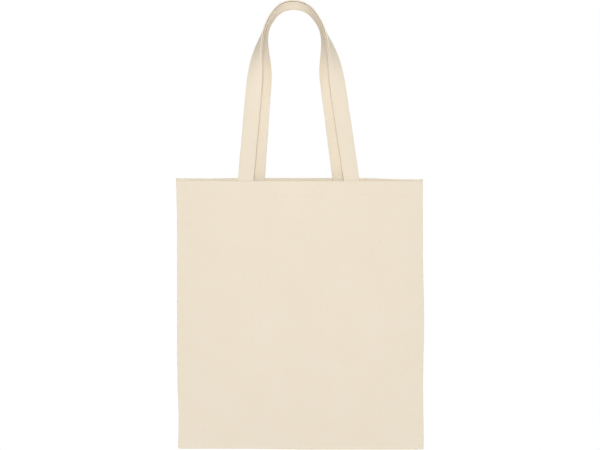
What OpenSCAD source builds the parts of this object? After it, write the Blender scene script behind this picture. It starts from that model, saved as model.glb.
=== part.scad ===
// Canvas tote bag: two cotton panels sewn at the sides and bottom, a folded hem round
// the mouth, and two long strap handles whose ends are sewn inside the hems.
// The origin is the point where a hook holds both handles, on the bag's centre plane.
// X runs across the bag, -Y is the front, Z is up. All sizes are in millimetres.

/* [Bag body] */
// Width across the side seams
bag_w = 380; // [300:1:470]
// Height of the front panel, from the bottom seam to the mouth
bag_h = 413; // [330:1:510]
// Thickness of one layer of canvas
cloth_t = 0.8; // [0.6:0.1:1]
// Half of the bag's depth at the mouth
mouth_half = 10; // [8.4:0.1:14]
// Stretch over which a panel curves down to a side seam
side_run = 80; // [60:1:100]
// Stretch over which a panel curves down to the bottom seam
bottom_run = 70; // [50:1:90]
// How much higher the back panel's mouth edge stands than the front's
back_rise = 5.5; // [0:0.5:7]

/* [Hems and seams] */
// Height of the folded hem
hem_h = 25; // [22:1:35]
// Thickness of the folded hem behind the panel, two layers of canvas
hem_t = 1.6; // [1.2:0.1:2]
// Width of the cloth edges turned inside at the seams
allowance_w = 12; // [9:1:16]

/* [Handles] */
// Width of a handle strap
strap_w = 24.5; // [20:0.5:30]
// Thickness of a folded handle strap
strap_t = 2.8; // [2:0.1:3]
// From the front mouth edge up to the hook, under both handles
strap_drop = 270; // [240:1:330]
// Half of the distance between the front handle's two sewn ends
front_spread = 81.5; // [66:0.5:96]
// Half of the distance between the back handle's two sewn ends
back_spread = 64.5; // [50:0.5:80]
// Half of the front handle's width where its legs end and its arch begins
front_shoulder = 60.2; // [50:0.1:70]
// Half of the back handle's width where its legs end and its arch begins
back_shoulder = 48.9; // [40:0.1:60]
// Height of the front handle's shoulder below the hook
front_shoulder_drop = 90; // [70:1:110]
// Height of the back handle's shoulder below the hook
back_shoulder_drop = 106; // [80:1:120]
// Radius of the arch that lies over the hook
arch_r = 42; // [36:1:48]
// Sideways place of the handles' middle at the mouth
foot_shift = -2; // [-8:0.5:8]
// Sideways place of the handles' middle at the top of the arch
arch_shift = -10; // [-14:0.5:14]
// Where the straps begin to turn edge-on, below the hook
twist_start_drop = 150; // [120:1:170]
// Where the straps lie fully edge-on, below the hook
twist_end_drop = 20; // [10:1:40]

/* [Stitching] */
// Width of the sewing thread
thread_w = 0.5; // [0.4:0.1:0.8]
// Height of a stitch: outside it lies sunk in the panel, inside it stands on the cloth
thread_h = 0.25; // [0.2:0.05:0.4]
// Length of one stitch
stitch_l = 3; // [2:0.5:4]
// Distance from one stitch to the next
stitch_pitch = 4; // [3:0.5:6]
// Hem stitching's distance below the mouth edge
hem_row_drop = 22; // [20:0.5:30]
// Box stitching's side length
box_side = 16; // [14:0.5:19]
// Box stitching's distance below the mouth edge
box_drop = 3; // [2:0.5:3.5]
// Strap stitching's distance from the strap's edge
strap_row_inset = 2.5; // [2:0.5:4]

/* [Hidden] */

// Colours
canvas = "#EADFCB";
hem_canvas = "#E3D6BE";
strap_canvas = "#E8DCC6";
thread = "#F4EEDF";

// Clearances: between pieces that move past each other, and past a face when cutting
seam_gap = 0.3;
past = 1;

// Half of the bag's depth right at a seam: the panel, a gap and one turned-in edge
edge_half = 2 * cloth_t + seam_gap;

// Heights
front_mouth_z = -strap_drop;
back_mouth_z = front_mouth_z + back_rise;
bottom_z = front_mouth_z - bag_h;

// Steps along a curved stretch of a panel, and round the parts of a handle
run_steps = 12;
arc_steps = 9;
shoulder_steps = 12;
leg_steps = 12;

// How far round its circle the arch goes on each side of its top
arc_turn = 62;
// Share of the shoulder's length that each of its two curve handles takes
curve_pull = 1 / 3;
// Overlock stitches cover this much of the turned-in edge, and stand off it this much
overlock_w = 7;
overlock_t = 0.35;

// ---- Panels -------------------------------------------------------------------

// Depth of a panel's face at a distance from its seam, the cloth skipping inset
function depth(from_seam, run, inset) =
    edge_half + (mouth_half - edge_half) * (1 - pow(1 - min(from_seam / run, 1), 2)) - inset;

// Outline of the front half seen from above, its face moved in by inset
function plan_outline(inset, back_y) =
    let (half = bag_w / 2 - inset)
    concat(
        [[-half, back_y]],
        [for (i = [0:run_steps])
            let (u = side_run * i / run_steps) [-half + u, -depth(u, side_run, inset)]],
        [for (i = [run_steps:-1:0])
            let (u = side_run * i / run_steps) [half - u, -depth(u, side_run, inset)]],
        [[half, back_y]]);

// Outline of the front half seen from the side, its face moved in by inset
function side_outline(inset, back_y, top_z) =
    concat(
        [[back_y, bottom_z + inset]],
        [for (i = [0:run_steps])
            let (u = bottom_run * i / run_steps)
            [-depth(u, bottom_run, inset), bottom_z + inset + u]],
        [[-mouth_half + inset, top_z], [back_y, top_z]]);

// Solid of the front half, moved in by inset: both outlines have to hold
module half_bag(inset, back_y, top_z) {
    intersection() {
        translate([0, 0, bottom_z - past])
            linear_extrude(top_z - bottom_z + 2 * past)
                polygon(plan_outline(inset, back_y));
        rotate([90, 0, 90])
            linear_extrude(bag_w, center = true)
                polygon(side_outline(inset, back_y, top_z));
    }
}

// One panel: the half bag less its own inside
module panel(mouth_z) {
    difference() {
        half_bag(0, -seam_gap / 2, mouth_z);
        half_bag(cloth_t, past, mouth_z + past);
    }
}

// A layer of cloth or thread that follows a panel, between two insets of its face
module layer(outer_inset, inner_inset, low_z, high_z) {
    translate([0, 0, low_z])
        linear_extrude(high_z - low_z)
            difference() {
                polygon(plan_outline(outer_inset, 0));
                polygon(plan_outline(inner_inset, past));
            }
}

// The hem: the panel's own cloth folded down inside, between the side seams
module hem(mouth_z) {
    reach = bag_w / 2 - cloth_t - 2 * seam_gap - allowance_w;
    intersection() {
        layer(cloth_t, cloth_t + hem_t, mouth_z - hem_h, mouth_z);
        translate([-reach, -bag_w / 2, mouth_z - hem_h])
            cube([2 * reach, bag_w / 2, hem_h]);
    }
}

module back_side() {
    mirror([0, 1, 0]) children();
}

module front_panel() {
    color(canvas) panel(front_mouth_z);
}

module back_panel() {
    color(canvas) back_side() panel(back_mouth_z);
}

module front_hem() {
    color(hem_canvas) hem(front_mouth_z);
}

module back_hem() {
    color(hem_canvas) back_side() hem(back_mouth_z);
}

// ---- Seams --------------------------------------------------------------------

// The two panels' edges turned inside and lying together
allowance_x = bag_w / 2 - cloth_t - seam_gap;
allowance_low_z = bottom_z + cloth_t + seam_gap;

module seam_strip(length) {
    translate([-length / 2, -cloth_t, 0])
        cube([length, 2 * cloth_t, allowance_w]);
}

// Loops of thread that bind the strip's raw edge
module overlock(length) {
    loops = floor(length / stitch_pitch);
    difference() {
        for (i = [0:loops - 1])
            translate([
                (i + 0.5 - loops / 2) * stitch_pitch - thread_w / 2,
                -cloth_t - overlock_t,
                allowance_w - overlock_w
            ])
                cube([thread_w, 2 * (cloth_t + overlock_t), overlock_w + overlock_t]);
        seam_strip(length);
    }
}

// Lays a strip along the right side seam, its raw edge towards the middle
module at_side_seam() {
    translate([allowance_x, 0, (allowance_low_z + front_mouth_z) / 2])
        rotate([0, -90, 0])
            children();
}

// Lays a strip along the bottom seam, its raw edge upwards
module at_bottom_seam() {
    translate([0, 0, allowance_low_z]) children();
}

side_strip_l = front_mouth_z - allowance_low_z;
bottom_strip_l = 2 * (allowance_x - allowance_w - overlock_t - seam_gap);

module right_seam_allowance() {
    color(canvas) at_side_seam() seam_strip(side_strip_l);
}

module left_seam_allowance() {
    color(canvas) mirror([1, 0, 0]) at_side_seam() seam_strip(side_strip_l);
}

module bottom_seam_allowance() {
    color(canvas) at_bottom_seam() seam_strip(bottom_strip_l);
}

module right_overlock_thread() {
    color(thread) at_side_seam() overlock(side_strip_l);
}

module left_overlock_thread() {
    color(thread) mirror([1, 0, 0]) at_side_seam() overlock(side_strip_l);
}

module bottom_overlock_thread() {
    color(thread) at_bottom_seam() overlock(bottom_strip_l);
}

// ---- Handles ------------------------------------------------------------------

// Centre of the arch's circle, so that its underside passes through the origin
arch_z = -sqrt(pow(arch_r - strap_t / 2, 2) - pow(arch_shift, 2));
arch_top_z = arch_z + arch_r;

function smooth(t) = let (c = min(max(t, 0), 1)) c * c * (3 - 2 * c);

// Sideways place of the handle's middle at a height: it leans a little
function lean(z) =
    foot_shift + (arch_shift - foot_shift) * (z - front_mouth_z) / (arch_top_z - front_mouth_z);

// How far a strap has turned edge-on at a height
function twist(z) = 90 * smooth((z + twist_start_drop) / (twist_start_drop - twist_end_drop));

function curve_point(a, b, c, d, t) =
    a * pow(1 - t, 3) + 3 * b * t * pow(1 - t, 2) + 3 * c * t * t * (1 - t) + d * pow(t, 3);

// Right half of a handle's middle line as [half width, height], from the arch down
function half_line(foot, shoulder, mouth_z) =
    let (
        start = [arch_r * sin(arc_turn), arch_z + arch_r * cos(arc_turn)],
        slope = (foot - shoulder) / norm(foot - shoulder),
        pull = norm(shoulder - start) * curve_pull,
        leaving = [cos(arc_turn), -sin(arc_turn)] * pull,
        arriving = slope * pull,
        low = foot + (shoulder - foot) * (mouth_z + seam_gap - foot[1]) / (shoulder[1] - foot[1])
    )
    concat(
        [for (i = [0:arc_steps - 1])
            let (a = arc_turn * i / arc_steps) [arch_r * sin(a), arch_z + arch_r * cos(a)]],
        [for (i = [0:shoulder_steps - 1])
            curve_point(start, start + leaving, shoulder - arriving, shoulder, i / shoulder_steps)],
        [for (i = [0:leg_steps]) shoulder + (low - shoulder) * i / leg_steps]);

// The whole middle line, from the left end over the arch to the right end
function strap_line(foot, shoulder, mouth_z) =
    let (
        right = half_line(foot, shoulder, mouth_z),
        last = len(right) - 1
    )
    concat(
        [for (i = [last:-1:1]) [lean(right[i][1]) - right[i][0], right[i][1]]],
        [for (p = right) [lean(p[1]) + p[0], p[1]]]);

// Unit direction from the line's left-hand side, level at the ends where the strap is sewn
function outward(line, i, shoulder_z) =
    let (
        a = line[max(i - 1, 0)],
        b = line[min(i + 1, len(line) - 1)],
        along = (b - a) / norm(b - a),
        side = line[i][0] < lean(line[i][1]) ? -1 : 1,
        level = smooth((line[i][1] - line[0][1]) / (shoulder_z - line[0][1])),
        mixed = [-along[1], along[0]] * level + [side, 0] * (1 - level)
    )
    mixed / norm(mixed);

// Distance of a strap's middle from the centre plane: it never crosses that plane
strap_y = mouth_half - cloth_t - hem_t - strap_t / 2;
function strap_depth(turn) =
    (strap_y - seam_gap) * cos(turn) + strap_w / 2 * sin(turn) + seam_gap;

// Places of a bar's four long edges: across and thick are measured from the strap's middle
function bar_ring(line, i, shoulder_z, across, thick) =
    let (
        p = line[i],
        turn = twist(p[1]),
        out = outward(line, i, shoulder_z),
        along = [out[1], 0, -out[0]],
        wide = [out[0] * cos(turn), sin(turn), out[1] * cos(turn)],
        face = cross(wide, along),
        middle = [p[0], -strap_depth(turn), p[1]]
    )
    [for (k = [[0, 0], [1, 0], [1, 1], [0, 1]]) middle + wide * across[k[0]] + face * thick[k[1]]];

// A flat bar that follows a handle's line, turning with it
module strap_bar(line, shoulder_z, across, thick) {
    rings = len(line);
    sides = 4;
    points = [for (i = [0:rings - 1]) each bar_ring(line, i, shoulder_z, across, thick)];
    walls = [for (i = [0:rings - 2]) for (k = [0:sides - 1])
        let (n = (k + 1) % sides)
        each [
            [i * sides + k, (i + 1) * sides + k, (i + 1) * sides + n],
            [i * sides + k, (i + 1) * sides + n, i * sides + n]
        ]];
    first = [for (k = [0:sides - 1]) k];
    final = [for (k = [sides - 1:-1:0]) (rings - 1) * sides + k];
    polyhedron(points, concat([first], walls, [final]));
}

front_foot = [front_spread, front_mouth_z];
front_top = [front_shoulder, -front_shoulder_drop];
back_foot = [back_spread, back_mouth_z];
back_top = [back_shoulder, -back_shoulder_drop];
front_line = strap_line(front_foot, front_top, front_mouth_z);
back_line = strap_line(back_foot, back_top, back_mouth_z);

module strap(line, shoulder_z) {
    strap_bar(line, shoulder_z, [-strap_w / 2, strap_w / 2], [-strap_t / 2, strap_t / 2]);
}

// Two rows of stitching on each face of a strap, half sunk into the cloth
module strap_stitching(line, shoulder_z) {
    row = strap_w / 2 - strap_row_inset;
    for (side = [-1, 1])
        for (face = [-1, 1])
            strap_bar(
                line, shoulder_z,
                [side * row - thread_w / 2, side * row + thread_w / 2],
                [face * strap_t / 2 - thread_h, face * strap_t / 2 + thread_h]
            );
}

module front_handle() {
    color(strap_canvas) strap(front_line, front_top[1]);
}

module back_handle() {
    color(strap_canvas) back_side() strap(back_line, back_top[1]);
}

module front_handle_stitching() {
    color(thread) strap_stitching(front_line, front_top[1]);
}

module back_handle_stitching() {
    color(thread) back_side() strap_stitching(back_line, back_top[1]);
}

// ---- Sewn strap ends ----------------------------------------------------------

// Draws the children where a strap leg meets the mouth, tilted as the leg is
module at_strap_foot(side, foot, top, mouth_z) {
    middle = lean(mouth_z) + side * foot[0];
    rise = top[1] - foot[1];
    run = lean(top[1]) - lean(mouth_z) + side * (top[0] - foot[0]);
    translate([middle, 0, mouth_z])
        rotate([0, atan(run / rise), 0])
            children();
}

// The strap's end, flat inside the hem, from the hem's lower edge to the mouth
module strap_end(side, foot, top, mouth_z) {
    inner = cloth_t + hem_t;
    intersection() {
        layer(inner, inner + strap_t, mouth_z - hem_h, mouth_z);
        at_strap_foot(side, foot, top, mouth_z)
            translate([-strap_w / 2, -bag_w / 2, -2 * hem_h])
                cube([strap_w, bag_w / 2, 3 * hem_h]);
    }
}

// A row of stitches along X, centred
module stitch_row(length, deep) {
    count = max(1, floor((length + stitch_pitch - stitch_l) / stitch_pitch));
    for (i = [0:count - 1])
        translate([(i - (count - 1) / 2) * stitch_pitch - stitch_l / 2, -deep, -thread_w / 2])
            cube([stitch_l, deep, thread_w]);
}

// A square of stitches with a cross inside it, seen from the front, centred
module box_pattern(deep) {
    diagonal = sqrt(2) * (box_side - stitch_pitch);
    for (turn = [0, 90, 180, 270])
        rotate([0, turn, 0])
            translate([0, 0, box_side / 2])
                stitch_row(box_side - stitch_pitch / 2, deep);
    for (turn = [45, -45])
        rotate([0, turn, 0])
            stitch_row(diagonal, deep);
}

// Box stitching, sunk flush in the panel's face and standing on the strap's end inside
module box_stitching(side, foot, top, mouth_z) {
    stack = cloth_t + hem_t + strap_t;
    intersection() {
        union() {
            layer(0, thread_h, mouth_z - hem_h, mouth_z);
            layer(stack, stack + thread_h, mouth_z - hem_h, mouth_z);
        }
        at_strap_foot(side, foot, top, mouth_z)
            translate([0, 0, -box_drop - box_side / 2])
                box_pattern(bag_w / 2);
    }
}

module front_left_strap_end() {
    color(strap_canvas) strap_end(-1, front_foot, front_top, front_mouth_z);
}

module front_right_strap_end() {
    color(strap_canvas) strap_end(1, front_foot, front_top, front_mouth_z);
}

module back_left_strap_end() {
    color(strap_canvas) back_side() strap_end(-1, back_foot, back_top, back_mouth_z);
}

module back_right_strap_end() {
    color(strap_canvas) back_side() strap_end(1, back_foot, back_top, back_mouth_z);
}

module front_left_box_stitching() {
    color(thread) box_stitching(-1, front_foot, front_top, front_mouth_z);
}

module front_right_box_stitching() {
    color(thread) box_stitching(1, front_foot, front_top, front_mouth_z);
}

module back_left_box_stitching() {
    color(thread) back_side() box_stitching(-1, back_foot, back_top, back_mouth_z);
}

module back_right_box_stitching() {
    color(thread) back_side() box_stitching(1, back_foot, back_top, back_mouth_z);
}

// ---- Hem stitching ------------------------------------------------------------

// The row that holds the hem, sunk flush in the panel's face and standing on the hem inside
module hem_stitching(foot, top, mouth_z) {
    inner = cloth_t + hem_t;
    row_z = mouth_z - hem_row_drop;
    difference() {
        intersection() {
            union() {
                layer(0, thread_h, mouth_z - hem_h, mouth_z);
                layer(inner, inner + thread_h, mouth_z - hem_h, mouth_z);
            }
            translate([0, 0, row_z])
                stitch_row(bag_w - 2 * (allowance_w + stitch_pitch), bag_w / 2);
        }
        for (side = [-1, 1])
            strap_end(side, foot, top, mouth_z);
    }
}

module front_hem_stitching() {
    color(thread) hem_stitching(front_foot, front_top, front_mouth_z);
}

module back_hem_stitching() {
    color(thread) back_side() hem_stitching(back_foot, back_top, back_mouth_z);
}

front_panel();
back_panel();
front_hem();
back_hem();
left_seam_allowance();
right_seam_allowance();
bottom_seam_allowance();
left_overlock_thread();
right_overlock_thread();
bottom_overlock_thread();
front_left_strap_end();
front_right_strap_end();
back_left_strap_end();
back_right_strap_end();
front_left_box_stitching();
front_right_box_stitching();
back_left_box_stitching();
back_right_box_stitching();
front_hem_stitching();
back_hem_stitching();
front_handle();
back_handle();
front_handle_stitching();
back_handle_stitching();
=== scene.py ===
"""Canvas tote bag, hung by both of its handles from a hook.

Two panels of natural cotton canvas are sewn together at the sides and the bottom, and
turned right side out, so that their raw, overlocked edges lie inside. Each mouth edge is
folded down twice into a hem. Two handles are canvas strips folded lengthwise and sewn near
both edges, whose ends are held inside the hems by boxes of stitching. Both handles turn
edge-on where they lie over the hook.

All lengths are in metres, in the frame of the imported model: X runs across the bag, -Y is
the front, Z is up, and the hook holds the handles at the origin.
"""

import logging
import math
from dataclasses import dataclass, field
from enum import Enum

import bpy
import numpy as np
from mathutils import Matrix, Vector


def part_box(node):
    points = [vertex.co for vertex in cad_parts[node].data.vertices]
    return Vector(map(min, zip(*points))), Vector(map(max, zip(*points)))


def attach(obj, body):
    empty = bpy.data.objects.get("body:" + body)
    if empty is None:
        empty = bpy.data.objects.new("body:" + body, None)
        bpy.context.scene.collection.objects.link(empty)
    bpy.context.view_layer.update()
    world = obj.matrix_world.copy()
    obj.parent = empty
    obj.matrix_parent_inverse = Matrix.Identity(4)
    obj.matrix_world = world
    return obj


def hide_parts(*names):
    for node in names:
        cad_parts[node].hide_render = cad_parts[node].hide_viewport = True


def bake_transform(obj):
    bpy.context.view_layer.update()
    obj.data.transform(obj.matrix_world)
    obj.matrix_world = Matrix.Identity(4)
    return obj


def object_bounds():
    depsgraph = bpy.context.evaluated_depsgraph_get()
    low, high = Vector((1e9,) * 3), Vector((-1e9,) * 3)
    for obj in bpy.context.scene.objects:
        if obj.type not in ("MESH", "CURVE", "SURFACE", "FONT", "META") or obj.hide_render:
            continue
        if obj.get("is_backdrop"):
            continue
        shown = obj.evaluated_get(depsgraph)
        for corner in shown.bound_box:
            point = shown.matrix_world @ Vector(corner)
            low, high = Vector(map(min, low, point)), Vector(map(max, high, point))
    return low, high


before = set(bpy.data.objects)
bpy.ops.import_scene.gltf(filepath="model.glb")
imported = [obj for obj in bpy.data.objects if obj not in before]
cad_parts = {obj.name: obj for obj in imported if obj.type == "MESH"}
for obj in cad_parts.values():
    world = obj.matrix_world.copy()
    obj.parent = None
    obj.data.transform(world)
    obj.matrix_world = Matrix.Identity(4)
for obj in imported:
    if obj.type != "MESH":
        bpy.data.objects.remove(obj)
CAD_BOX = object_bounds()

LOG = logging.getLogger("tote_bag")
MM = 0.001
RIM_REACH = 0.4  # how far a raw edge bulges out, as a share of the cloth's thickness

Array = np.ndarray
Place = tuple[float, float, float]


class Side(Enum):
    """Which of the bag's two panels a piece belongs to, by the sign of its Y."""

    FRONT = -1
    BACK = 1

    @property
    def label(self) -> str:
        """The side's name, which is also the name of the body that its panel moves with."""
        return self.name.lower()


class Hand(Enum):
    """Left or right as seen from the front, by the sign of its X."""

    LEFT = -1
    RIGHT = 1

    @property
    def label(self) -> str:
        """The hand's name in small letters."""
        return self.name.lower()


# ---- Shapes in numbers --------------------------------------------------------------


def smooth(t: Array | float) -> Array:
    """Rises gently from 0 at t = 0 to 1 at t = 1, and stays level outside."""
    t = np.clip(t, 0.0, 1.0)
    return t * t * (3 - 2 * t)


def bell(distance: Array, width: float) -> Array:
    """A rounded hump, 1 high at no distance and nearly gone at twice the width."""
    return np.exp(-((distance / width) ** 2))


class Ripple:
    """A few soft random waves laid over each other, mostly between -1 and 1.

    The same seed always gives the same waves.
    """

    def __init__(self, seed: int, shortest: float, longest: float, count: int = 6) -> None:
        """Draws the waves.

        Args:
            seed: Which waves are drawn.
            shortest: Shortest wavelength.
            longest: Longest wavelength.
            count: How many waves are laid over each other.
        """
        rng = np.random.default_rng(seed)
        turns = 2 * math.pi / rng.uniform(shortest, longest, count)
        heading = rng.uniform(0, math.pi, count)
        self.across = turns * np.cos(heading)
        self.up = turns * np.sin(heading)
        self.along = turns
        self.phase = rng.uniform(0, 2 * math.pi, count)

    def over(self, x: Array, z: Array) -> Array:
        """Height of the waves at places on a surface.

        Args:
            x: Places across the surface.
            z: Places up the surface.

        Returns:
            Heights, in the shape of x and z.
        """
        angle = x[..., None] * self.across + z[..., None] * self.up + self.phase
        return np.sin(angle).sum(-1) / math.sqrt(2 * len(self.phase))

    def on(self, s: Array) -> Array:
        """Height of the waves at places on a line."""
        angle = s[..., None] * self.along + self.phase
        return np.sin(angle).sum(-1) / math.sqrt(2 * len(self.phase))


@dataclass
class Shell:
    """Points, faces and flat cloth coordinates of a mesh that is being built."""

    points: Array
    faces: list[tuple[int, ...]]
    cloth: Array | None = None

    def mirrored(self, side: Side) -> "Shell":
        """The same shell on the given side: shells are built at the front, with Y below 0."""
        if side is Side.FRONT:
            return self
        points = self.points * np.array([1, -1, 1])
        return Shell(points, [face[::-1] for face in self.faces], self.cloth)

    def joined(self, *others: "Shell") -> "Shell":
        """This shell and others as one.

        Args:
            others: Shells that have cloth coordinates just when this one has them.

        Returns:
            A new shell that holds all of them, not welded together.
        """
        shells = [self, *others]
        starts = np.cumsum([0] + [len(shell.points) for shell in shells[:-1]])
        faces = [
            tuple(int(start) + i for i in face)
            for start, shell in zip(starts, shells)
            for face in shell.faces
        ]
        cloth = None
        if self.cloth is not None:
            cloth = np.concatenate([shell.cloth for shell in shells])
        return Shell(np.concatenate([shell.points for shell in shells]), faces, cloth)

    def made(self, name: str, finish: "Finish") -> bpy.types.Object:
        """Turns the shell into a smooth-shaded object in the scene.

        Args:
            name: Name of the new object.
            finish: Finish that the whole object has.

        Returns:
            The new object.
        """
        mesh = bpy.data.meshes.new(name)
        mesh.from_pydata(self.points.tolist(), [], self.faces)
        mesh.materials.append(finish.material())
        mesh.shade_smooth()
        if self.cloth is not None:
            layer = mesh.uv_layers.new(name=CLOTH_MAP)
            corners = np.zeros(len(mesh.loops), np.int32)
            mesh.loops.foreach_get("vertex_index", corners)
            layer.uv.foreach_set("vector", self.cloth[corners].astype(np.float32).ravel())
        mesh.validate()
        piece = bpy.data.objects.new(name, mesh)
        bpy.context.scene.collection.objects.link(piece)
        return piece


def lofted(rings: Array, cloth: Array | None = None, closed_ends: bool = True) -> Shell:
    """Joins closed rings of points, one after another, into a solid bar.

    Args:
        rings: Points by ring, point and axis.
        cloth: Cloth coordinates by ring, point and axis, if the bar has them.
        closed_ends: Whether the first and the last ring are closed by a face.

    Returns:
        The bar as a shell.
    """
    count, around = rings.shape[:2]
    first = (np.arange(count - 1)[:, None] * around + np.arange(around)[None]).ravel()
    after = (
        np.arange(count - 1)[:, None] * around + (np.arange(around)[None] + 1) % around
    ).ravel()
    quads = np.stack([first, after, after + around, first + around], 1)
    faces = [tuple(quad) for quad in quads.tolist()]
    if closed_ends:
        faces.append(tuple(range(around - 1, -1, -1)))
        faces.append(tuple(range((count - 1) * around, count * around)))
    flat = None if cloth is None else cloth.reshape(-1, 2)
    return Shell(rings.reshape(-1, 3), faces, flat)


def unit(vectors: Array) -> Array:
    """The same directions with length 1."""
    return vectors / np.maximum(np.linalg.norm(vectors, axis=-1, keepdims=True), 1e-12)


def thickened(middle: Array, keep: Array, thickness: float, cloth: Array) -> Shell:
    """Gives a grid of points the thickness of a cloth, with rounded raw edges.

    Args:
        middle: Points in the middle of the cloth, by row, column and axis.
        keep: Which cells of the grid are there, by row and column.
        thickness: Distance between the cloth's two faces.
        cloth: Flat cloth coordinates of each point, by row, column and axis.

    Returns:
        The cloth as a closed shell. Its outer face is on the left of a row that is
        followed upwards.
    """
    rows, columns = middle.shape[:2]
    up = np.gradient(middle, axis=0)
    right = np.gradient(middle, axis=1)
    normal = unit(np.cross(right, up))
    total = rows * columns
    outer = (middle + normal * thickness / 2).reshape(-1, 3)
    inner = (middle - normal * thickness / 2).reshape(-1, 3)
    row, column = np.nonzero(keep)
    a = row * columns + column
    cells = np.stack([a, a + 1, a + columns + 1, a + columns], 1)
    sides = np.concatenate([cells[:, [i, (i + 1) % 4]] for i in range(4)])
    key = np.sort(sides, 1) @ np.array([total, 1])
    _, index, uses = np.unique(key, return_index=True, return_counts=True)
    border = sides[index[uses == 1]]
    rim_points = np.unique(border)
    pushed = np.zeros((total, 3))
    flat = middle.reshape(-1, 3)
    flat_normal = normal.reshape(-1, 3)
    outward = np.cross(unit(flat[border[:, 1]] - flat[border[:, 0]]), flat_normal[border[:, 0]])
    for end in (0, 1):
        np.add.at(pushed, border[:, end], outward)
    rim = flat[rim_points] + unit(pushed[rim_points]) * thickness * RIM_REACH
    rim_index = np.zeros(total, np.int64)
    rim_index[rim_points] = 2 * total + np.arange(len(rim_points))
    walls = []
    for layer, order in ((0, (0, 1)), (total, (1, 0))):
        i, j = border[:, order[0]], border[:, order[1]]
        walls.append(np.stack([j + layer, i + layer, rim_index[i], rim_index[j]], 1))
    faces = np.concatenate([cells, cells[:, ::-1] + total, *walls])
    points = np.concatenate([outer, inner, rim])
    both = cloth.reshape(-1, 2)
    coordinates = np.concatenate([both, both, both[rim_points]])
    used, faces = np.unique(faces, return_inverse=True)
    faces = faces.reshape(-1, 4)
    return Shell(points[used], [tuple(f) for f in faces.tolist()], coordinates[used])


@dataclass(frozen=True)
class Stitch:
    """One visible stitch of a lockstitch seam: a short thread that dives in at both ends."""

    length: float = 3.1 * MM
    width: float = 0.55 * MM
    height: float = 0.5 * MM
    tapering: float = 0.97
    dive: float = 0.55
    around: int = 6
    stations: tuple[float, ...] = (-1.0, -0.86, -0.5, 0.0, 0.5, 0.86, 1.0)

    def laid(self, centres: Array, along: Array, up: Array) -> Shell:
        """Lays one stitch at each place.

        Args:
            centres: Middles of the stitches, on the cloth's face.
            along: Direction in which each stitch runs.
            up: Direction out of the cloth at each stitch.

        Returns:
            All the stitches as one shell.
        """
        along, up = unit(along), unit(up)
        across = unit(np.cross(up, along))
        t = np.array(self.stations)
        fat = np.sqrt(1 - (self.tapering * t) ** 2)
        dive = -self.height * self.dive * t**4
        turn = np.arange(self.around) * 2 * math.pi / self.around
        ring = np.stack([np.cos(turn) * self.width / 2, np.sin(turn) * self.height / 2], 1)
        local = np.zeros((len(t), self.around, 3))
        local[..., 0] = (t * self.length / 2)[:, None]
        local[..., 1] = fat[:, None] * ring[None, :, 0]
        local[..., 2] = fat[:, None] * ring[None, :, 1] + dive[:, None]
        frames = np.stack([along, across, up], 1)
        points = np.einsum("rak,nkd->nrad", local, frames) + centres[:, None, None]
        one = lofted(points[0])
        size = len(one.points)
        faces = np.array([face for face in one.faces if len(face) == 4])
        caps = [face for face in one.faces if len(face) != 4]
        quads = (faces[None] + (np.arange(len(centres)) * size)[:, None, None]).reshape(-1, 4)
        every = [tuple(face) for face in quads.tolist()]
        every += [tuple(k * size + i for i in cap) for k in range(len(centres)) for cap in caps]
        return Shell(points.reshape(-1, 3), every)


# ---- Finishes -----------------------------------------------------------------------

CLOTH_MAP = "cloth"


def linear(colour: str) -> tuple[float, float, float, float]:
    """Turns an sRGB colour into the linear values that a shader takes.

    Args:
        colour: Hex colour such as "#EADFCB".

    Returns:
        Red, green and blue from 0 to 1, and 1 for opaque.
    """
    parts = [int(colour[i : i + 2], 16) / 255 for i in (1, 3, 5)]
    red, green, blue = (
        part / 12.92 if part <= 0.04045 else ((part + 0.055) / 1.055) ** 2.4 for part in parts
    )
    return red, green, blue, 1.0


def add_node(
    tree: bpy.types.NodeTree,
    kind: str,
    settings: dict[str | int, object] | None = None,
    links: dict[str | int, bpy.types.NodeSocket] | None = None,
) -> bpy.types.Node:
    """Adds a node to a tree.

    Args:
        tree: Node tree that gets the node.
        kind: Type of the node, such as "ShaderNodeMath".
        settings: Values by name: of input sockets by name or number, otherwise of properties.
        links: Output sockets to join to the node's inputs, by input name or number.

    Returns:
        The new node.
    """
    node = tree.nodes.new(kind)
    for name, value in (settings or {}).items():
        if isinstance(name, int) or name in node.inputs:
            node.inputs[name].default_value = value
        else:
            setattr(node, name, value)
    for name, source in (links or {}).items():
        tree.links.new(source, node.inputs[name])
    return node


@dataclass(frozen=True)
class Finish:
    """A finish that builds its Blender material once and then hands out the same one."""

    name: str = "finish"

    def material(self) -> bpy.types.Material:
        """The finish as a material, made when it is first asked for."""
        found = bpy.data.materials.get(self.name)
        if found:
            return found
        made = bpy.data.materials.new(self.name)
        made.use_nodes = True
        made.node_tree.nodes.clear()
        self.dress(made.node_tree)
        return made

    def dress(self, tree: bpy.types.NodeTree) -> None:
        """Fills the material's empty node tree."""
        raise NotImplementedError


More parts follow.
